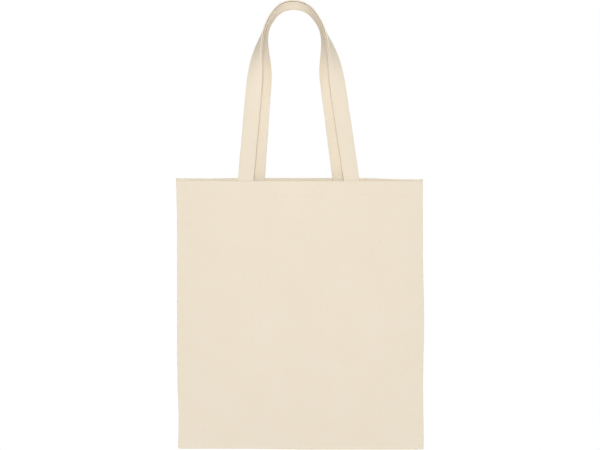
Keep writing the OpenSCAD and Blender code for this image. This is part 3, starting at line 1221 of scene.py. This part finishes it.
@dataclass
class StrapHandle:
    """One handle: a folded strap from inside the hem, over the hook, and back.

    The strap's folded edge lies outside, its open edge, where the turned-in raw edges meet
    and leave a slit, lies inside, and comes to the near edge where the strap turns edge-on.
    The slit's cavity runs in past the row of stitches, which would close it on a real strap.
    It is that deep so that it looks dark.
    """

    panel: PanelCloth
    canvas: Finish
    thread: Finish
    shoulder: float
    shoulder_drop: float
    seed: int
    width: float = 24.5 * MM
    thickness: float = 2.8 * MM
    loose: float = 0.4 * MM
    sewn: float = 24 * MM
    arch_radius: float = 42 * MM
    arch_turn: float = math.radians(62)
    arch_shift: float = -10 * MM
    pinch: float = 1.3 * MM
    pinch_drop: float = 15 * MM
    pinch_reach: float = 11 * MM
    twist_start: float = 150 * MM
    twist_end: float = 20 * MM
    apart: float = 0.3 * MM
    middle_depth: float = 6.2 * MM
    row_inset: float = 2.5 * MM
    ring_step: float = 1.6 * MM
    slit_low: float = 0.35 * MM
    slit_high: float = 0.85 * MM
    slit_shift: float = 0.75 * MM
    slit_slope: float = 0.2
    ply_droop: float = 0.6 * MM
    lip: tuple[tuple[float, float], ...] = (
        (0.12 * MM, 0.78), (0.0, 0.5), (0.12 * MM, 0.22), (0.5 * MM, 0.0)
    )
    cavity: tuple[tuple[float, float], ...] = (
        (1.3 * MM, 1.3), (3.4 * MM, 1.25), (5.4 * MM, 0.06)
    )
    pitch: float = 4 * MM
    stitch: Stitch = Stitch(length=3.0 * MM, width=0.5 * MM, height=0.42 * MM)

    @property
    def side(self) -> Side:
        """The side that the handle is sewn to."""
        return self.panel.side

    @property
    def mouth(self) -> float:
        """Height of the mouth edge that the handle is sewn to."""
        return self.panel.shape.mouth[self.side]

    def arch_centre(self) -> float:
        """Height of the arch's centre, so that its underside rests on the hook."""
        inner = self.arch_radius - self.thickness / 2
        return -math.sqrt(inner**2 - self.arch_shift**2)

    def lean(self, z: Array) -> Array:
        """Sideways place of the handle's middle at heights z."""
        foot = self.panel.shape.mouth[Side.FRONT]
        top = self.arch_centre() + self.arch_radius
        foot_shift = self.panel.foot_middle
        return foot_shift + (self.arch_shift - foot_shift) * (z - foot) / (top - foot)

    def half_line(self) -> Array:
        """Right half of the handle's middle line, from the arch down into the hem.

        Returns:
            Half widths and heights, one point per row.
        """
        turn, radius, centre = self.arch_turn, self.arch_radius, self.arch_centre()
        a = np.arange(0, turn, self.ring_step / radius)
        arch = np.stack([radius * np.sin(a), centre + radius * np.cos(a)], 1)
        start = np.array([radius * math.sin(turn), centre + radius * math.cos(turn)])
        shoulder = np.array([self.shoulder, -self.shoulder_drop])
        foot = np.array([self.panel.foot_spread, self.mouth])
        slope = unit(foot - shoulder)
        pull = np.linalg.norm(shoulder - start) / 3
        leaving = start + np.array([math.cos(turn), -math.sin(turn)]) * pull
        arriving = shoulder - slope * pull
        count = int(np.linalg.norm(shoulder - start) * 1.05 / self.ring_step)
        t = (np.arange(count) / count)[:, None]
        bend = (
            start * (1 - t) ** 3
            + 3 * leaving * t * (1 - t) ** 2
            + 3 * arriving * t * t * (1 - t)
            + shoulder * t**3
        )
        run = np.linalg.norm(foot - shoulder) + self.sewn
        along = np.arange(0, run, self.ring_step)
        leg = shoulder + slope * np.append(along, run)[:, None]
        line = np.concatenate([arch, bend, leg])
        line[:, 0] -= self.pinch * bell(line[:, 1] + self.pinch_drop, self.pinch_reach)
        return line

    def frames(self) -> dict[str, Array]:
        """Place and directions of the strap, ring by ring, for a handle at the front.

        Returns:
            The ring's middle, its direction across the strap and out of its face, its
            distance along the strap, and how far it has turned edge-on, from 0 to 1.
        """
        right = self.half_line()
        left = right[:0:-1] * np.array([-1, 1])
        half = np.concatenate([left, right])
        line = np.stack([self.lean(half[:, 1]) + half[:, 0], half[:, 1]], 1)
        along = unit(np.gradient(line, axis=0))
        out = np.stack([-along[:, 1], along[:, 0]], 1)
        share = smooth((line[:, 1] + self.twist_start) / (self.twist_start - self.twist_end))
        turn = share * math.pi / 2
        depth = (
            (self.middle_depth - self.apart) * np.cos(turn)
            + self.width / 2 * np.sin(turn)
            + self.apart
        )
        wide = np.stack([out[:, 0] * np.cos(turn), np.sin(turn), out[:, 1] * np.cos(turn)], 1)
        onward = np.stack([along[:, 0], np.zeros(len(line)), along[:, 1]], 1)
        s = np.concatenate([[0], np.cumsum(np.linalg.norm(np.diff(line, axis=0), axis=1))])
        free = smooth((line[:, 1] - self.mouth) / (40 * MM)) * (1 - 0.8 * share)
        sway = 0.35 * MM * Ripple(self.seed, 60 * MM, 150 * MM).on(s) * free
        middle = np.stack([line[:, 0], -depth - sway, line[:, 1]], 1)
        return {
            "middle": middle,
            "wide": wide,
            "face": np.cross(wide, onward),
            "s": s,
            "share": share,
            "onward": onward,
        }

    def profile(self, share: Array, s: Array) -> Array:
        """Cross-section of the folded strap, ring by ring.

        Args:
            share: How far each ring has turned edge-on, from 0 to 1.
            s: Each ring's distance along the strap.

        Returns:
            Places across and out of the face, by ring, point and axis.
        """
        half_w = self.width / 2
        half_t = (self.thickness + self.loose * share) / 2
        gap = (self.slit_low + (self.slit_high - self.slit_low) * share) / 2
        puff = 1 + 0.04 * Ripple(self.seed + 1, 12 * MM, 40 * MM).on(s)
        sewn = 0.82 + 0.03 * np.sin(2 * math.pi * s / self.pitch)
        at = half_w - self.row_inset
        none = np.zeros_like(s)
        face = [
            (half_w - 0.08 * MM, 0.45 * half_t),
            (half_w - 0.35 * MM, 0.75 * half_t),
            (half_w - 0.9 * MM, 0.92 * half_t),
            (at + 0.8 * MM, 0.96 * half_t * puff),
            (at + 0.35 * MM, (sewn + 0.07) * half_t),
            (at, sewn * half_t),
            (at - 0.35 * MM, (sewn + 0.07) * half_t),
            (at - 1.0 * MM, 0.98 * half_t * puff),
            (at * 0.5, 1.02 * half_t * puff),
            (0.0, 1.03 * half_t * puff),
            (-at * 0.5, 1.02 * half_t * puff),
            (-at + 1.0 * MM, 0.98 * half_t * puff),
            (-at + 0.35 * MM, (sewn + 0.07) * half_t),
            (-at, sewn * half_t),
            (-at - 0.35 * MM, (sewn + 0.07) * half_t),
            (-at - 0.9 * MM, 0.96 * half_t),
            (-half_w + 0.6 * MM, 0.95 * half_t + 0.3 * gap),
        ]
        plies = []
        for out in (1, -1):
            points = [(a, out * b + self.droop(a, share, out)) for a, b in face]
            outer = points[-1][1]
            wall = self.slit_shift * share + out * gap
            for inset, part in self.lip:
                points.append((-half_w + inset, wall + (outer - wall) * part))
            for deep, wide in self.cavity:
                middle = (self.slit_shift - self.slit_slope * deep) * share
                points.append((-half_w + deep, middle + out * wide * gap))
            plies.append(points)
        points = [(half_w, none), *plies[0], *plies[1][::-1]]
        edge = 0.15 * MM * Ripple(self.seed + 2, 25 * MM, 70 * MM).on(s)
        ring = np.zeros((len(s), len(points), 2))
        for k, (a, b) in enumerate(points):
            ring[:, k, 0] = a + edge * a / half_w
            ring[:, k, 1] = b
        return ring

    def droop(self, across: float, share: Array, out: int) -> Array:
        """How far the under ply sags open at the slit where the strap bends over the hook.

        Args:
            across: Place across the strap, from its middle to the folded edge.
            share: How far each ring has turned edge-on, from 0 to 1.
            out: 1 for the under ply, -1 for the upper ply, which stays taut.

        Returns:
            The sag of each ring.
        """
        return self.ply_droop * share * smooth((-across - 1 * MM) / (9 * MM)) * max(out, 0)

    def crosses_mouth(self, piece: bpy.types.Object) -> bpy.types.Object:
        """Bakes a piece of the handle's placement into its mesh. The heights just below and above
        the mouth are worked out, but nothing uses them.
        """
        body = self.side.label
        start = (0.0, 0.0, self.mouth - 1 * MM)
        end = (0.0, 0.0, self.mouth + 10 * MM)
        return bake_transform(piece)

    def strap(self) -> bpy.types.Object:
        """Makes the folded strap with both of its sewn ends."""
        f = self.frames()
        ring = self.profile(f["share"], f["s"])
        rings = (
            f["middle"][:, None]
            + f["wide"][:, None] * ring[..., :1]
            + f["face"][:, None] * ring[..., 1:]
        )
        around = np.linalg.norm(np.diff(ring[0], axis=0), axis=1)
        girth = np.concatenate([[0], np.cumsum(around)])
        cloth = np.stack(np.broadcast_arrays(girth[None], f["s"][:, None]), -1)
        label = self.side.label
        shell = lofted(rings[:, ::-1], cloth[:, ::-1])
        piece = shell.mirrored(self.side).made(f"{label}_strap", self.canvas)
        self.crosses_mouth(piece)
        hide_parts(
            f"{label}_handle", f"{label}_left_strap_end", f"{label}_right_strap_end"
        )
        return piece

    def rows(self) -> bpy.types.Object:
        """Makes the four rows of stitches, two on each face of the strap."""
        f = self.frames()
        s = f["s"]
        low = s[np.argmax(f["middle"][:, 2] > self.mouth)]
        high = s[-1] - s[np.argmax(f["middle"][::-1, 2] > self.mouth)]
        at = np.arange(low + self.pitch / 2, high, self.pitch)

        def sampled(values: Array) -> Array:
            """Values at the stitches' places."""
            return np.stack([np.interp(at, s, values[:, k]) for k in range(3)], 1)

        middle, wide, face, onward = (sampled(f[k]) for k in ("middle", "wide", "face", "onward"))
        share = np.interp(at, s, f["share"])
        across = self.width / 2 - self.row_inset
        shell = None
        for edge in (-1, 1):
            for out in (-1, 1):
                thick = (self.thickness + self.loose * share) / 2 * 0.85
                lift = (out * thick + self.droop(edge * across, share, out))[:, None]
                spots = middle + wide * edge * across + face * lift
                row = self.stitch.laid(spots, onward, face * out)
                shell = row if shell is None else shell.joined(row)
        label = self.side.label
        piece = shell.mirrored(self.side).made(f"{label}_strap_rows", self.thread)
        self.crosses_mouth(piece)
        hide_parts(f"{label}_handle_stitching")
        return piece

    def foot(self, hand: Hand) -> tuple[float, float]:
        """Where a leg meets the mouth, and how far it tilts sideways per height."""
        rise = -self.shoulder_drop - self.mouth
        at_foot = float(self.lean(np.array(self.mouth))) + hand.value * self.panel.foot_spread
        at_top = float(self.lean(np.array(-self.shoulder_drop))) + hand.value * self.shoulder
        return at_foot, (at_top - at_foot) / rise

    def built(self) -> list[bpy.types.Object]:
        """Makes the strap and its rows of stitches."""
        return [self.strap(), self.rows()]


@dataclass
class BoxStitching:
    """A square of stitches with a cross in it that holds a strap's end in the hem."""

    handle: StrapHandle
    hand: Hand
    finish: Finish
    side_length: float = 16 * MM
    drop: float = 3 * MM
    pitch: float = 4 * MM
    stitch: Stitch = Stitch()

    def pattern(self) -> tuple[Array, Array]:
        """Middles and directions of the stitches, flat, from the box's own middle."""
        half = self.side_length / 2
        steps = np.arange(-half + self.pitch / 2, half, self.pitch)
        spots, ways = [], []
        for k in range(4):
            turn = k * math.pi / 2
            way = np.array([math.cos(turn), math.sin(turn)])
            out = np.array([-way[1], way[0]]) * half
            spots += [way * step + out for step in steps]
            ways += [way] * len(steps)
        reach = half * math.sqrt(2) - 1.5 * MM
        across = np.linspace(-reach + self.pitch / 2, reach - self.pitch / 2, 5)
        for turn in (math.pi / 4, -math.pi / 4):
            way = np.array([math.cos(turn), math.sin(turn)])
            spots += [way * step for step in across]
            ways += [way] * len(across)
        return np.array(spots), np.array(ways)

    def built(self) -> bpy.types.Object:
        """Makes the box outside on the panel and inside on the strap's end."""
        panel = self.handle.panel
        shape = panel.shape
        at_mouth, tilt = self.handle.foot(self.hand)
        spots, ways = self.pattern()
        lean = np.array([tilt, 1.0]) / math.hypot(tilt, 1.0)
        right = np.array([lean[1], -lean[0]])
        turned = spots[:, :1] * right + spots[:, 1:] * lean
        heading = ways[:, :1] * right + ways[:, 1:] * lean
        middle = np.array([at_mouth, self.handle.mouth]) - lean * (self.drop + self.side_length / 2)
        x, z = (turned + middle).T
        face = panel.face_middle(x, z)
        along = np.stack([heading[:, 0], np.zeros_like(x), heading[:, 1]], -1)
        outward = np.tile([0.0, -1.0, 0.0], (len(x), 1))
        outside = np.stack([x, face - shape.cloth / 2, z], -1)
        strap_face = -self.handle.middle_depth + self.handle.thickness / 2
        inside = np.stack([x, np.full_like(x, strap_face), z], -1)
        shell = self.stitch.laid(outside, along, outward).joined(
            self.stitch.laid(inside, along, -outward)
        )
        label = f"{panel.side.label}_{self.hand.label}"
        piece = shell.mirrored(panel.side).made(f"{label}_box_seam", self.finish)
        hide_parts(f"{label}_box_stitching")
        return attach(piece, panel.side.label)


# ---- Studio -------------------------------------------------------------------------


@dataclass(frozen=True)
class Softbox:
    """A square soft light: its name, place, side length and power in watts."""

    name: str
    place: Place
    size: float
    power: float


@dataclass(frozen=True)
class NarrowLamp:
    """A lamp with a narrow round beam that brightens one spot of the object."""

    name: str
    place: Place
    aim: Place
    power: float
    cone_degrees: float
    edge_blend: float
    source_size: float


@dataclass
class Studio:
    """White floor, white surroundings, soft lights, one narrow lamp and the camera."""

    bottom: float
    distance: float = 1.38
    eye_height: float = -0.3377
    seen_width: float = 0.927
    film_width: float = 36.0
    floor_drop: float = 0.37
    floor_size: float = 60.0
    surroundings: float = 0.42
    softboxes: tuple[Softbox, ...] = (
        Softbox("front_softbox", (-0.03, -3.4, 0.15), 0.5, 66.0),
        Softbox("top_softbox", (0.2, 0.3, 1.5), 1.2, 8.0),
        Softbox("back_softbox", (0.4, 2.3, 0.5), 1.0, 34.0),
    )
    uplight: NarrowLamp = NarrowLamp(
        "handle_uplight", (-0.01, -0.24, -1.0), (-0.01, 0.0, 0.0), 20.0, 5.8, 0.45, 0.04
    )

    def camera(self) -> bpy.types.Object:
        """Level camera in front of the bag, half way up it, as wide as the picture needs."""
        data = bpy.data.cameras.new("camera")
        data.sensor_width = self.film_width
        data.lens = self.film_width * self.distance / self.seen_width
        camera = bpy.data.objects.new("camera", data)
        camera.location = (0, -self.distance, self.eye_height)
        camera.rotation_euler = (math.pi / 2, 0, 0)
        bpy.context.scene.collection.objects.link(camera)
        bpy.context.scene.camera = camera
        return camera

    def floor(self) -> bpy.types.Object:
        """Plain floor below the hanging bag."""
        half = self.floor_size / 2
        z = self.bottom - self.floor_drop
        corners = np.array([[-half, -half, z], [half, -half, z], [half, half, z], [-half, half, z]])
        floor = Shell(corners, [(0, 1, 2, 3)]).made("floor", LightTable())
        floor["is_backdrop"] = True
        return floor

    def aimed(self, light: bpy.types.Light, place: Place, aim: Place) -> None:
        """Stands a light somewhere, turned to a point, out of the camera's sight.

        Args:
            light: The light's settings, whose name the lamp takes.
            place: Where it stands.
            aim: Point that it shines at.
        """
        lamp = bpy.data.objects.new(light.name, light)
        lamp.location = place
        way = Vector(aim) - Vector(place)
        lamp.rotation_euler = way.to_track_quat("-Z", "Y").to_euler()
        lamp.visible_camera = False
        bpy.context.scene.collection.objects.link(lamp)

    def lights(self) -> None:
        """Adds the softboxes round the bag and the narrow lamp below its handles' arches."""
        for box in self.softboxes:
            soft = bpy.data.lights.new(box.name, "AREA")
            soft.shape = "SQUARE"
            soft.size = box.size
            soft.energy = box.power
            self.aimed(soft, box.place, (0.0, 0.0, self.eye_height))
        beam = bpy.data.lights.new(self.uplight.name, "SPOT")
        beam.energy = self.uplight.power
        beam.spot_size = math.radians(self.uplight.cone_degrees)
        beam.spot_blend = self.uplight.edge_blend
        beam.shadow_soft_size = self.uplight.source_size
        self.aimed(beam, self.uplight.place, self.uplight.aim)

    def surround(self) -> None:
        """Even white surroundings that the camera sees as pure white."""
        world = bpy.data.worlds.new("studio")
        world.use_nodes = True
        tree = world.node_tree
        tree.nodes.clear()
        light, seen = (
            add_node(tree, "ShaderNodeBackground", {"Strength": strength, "Color": (1, 1, 1, 1)})
            for strength in (self.surroundings, 1.0)
        )
        ray = add_node(tree, "ShaderNodeLightPath")
        both = add_node(
            tree,
            "ShaderNodeMixShader",
            links={0: ray.outputs["Is Camera Ray"], 1: light.outputs[0], 2: seen.outputs[0]},
        )
        add_node(tree, "ShaderNodeOutputWorld", links={0: both.outputs[0]})
        bpy.context.scene.world = world

    def built(self) -> None:
        """Sets up everything round the bag."""
        bpy.context.scene.view_settings.view_transform = "Standard"
        self.camera()
        self.floor()
        self.surround()
        self.lights()


def main() -> None:
    """Builds the bag sub-assembly by sub-assembly and reports each piece."""
    logging.basicConfig(level=logging.INFO, format="%(name)s: %(message)s")
    canvas, strap_canvas, thread = NaturalCanvas(), StrapCanvas(), SewingThread()
    shape = BagShape()
    Studio(shape.bottom).built()
    pieces: list[bpy.types.Object] = []

    front = PanelCloth(
        shape, Side.FRONT, canvas, seed=100, left_droop=-0.7 * MM, right_droop=0.1 * MM
    )
    back = PanelCloth(
        shape,
        Side.BACK,
        canvas,
        seed=200,
        left_droop=0.8 * MM,
        right_droop=2.4 * MM,
        foot_spread=64.5 * MM,
    )
    front_handle = StrapHandle(
        front, strap_canvas, thread, shoulder=60.2 * MM, shoulder_drop=90 * MM, seed=300
    )
    back_handle = StrapHandle(
        back, strap_canvas, thread, shoulder=48.9 * MM, shoulder_drop=106 * MM, seed=400
    )
    seam_pieces = SeamEdges(shape, canvas, thread).built()
    pieces += seam_pieces
    for panel, handle in ((front, front_handle), (back, back_handle)):
        cloth = panel.built()
        row = HemStitching(panel, thread).built()
        boxes = [BoxStitching(handle, hand, thread).built() for hand in Hand]
        straps = handle.built()
        pieces += [cloth, row, *boxes, *straps]
    for piece in pieces:
        LOG.info("%s: %d points", piece.name, len(piece.data.vertices))

    boxes = {"cad": CAD_BOX, "visual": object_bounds()}


if __name__ == "__main__":
    main()
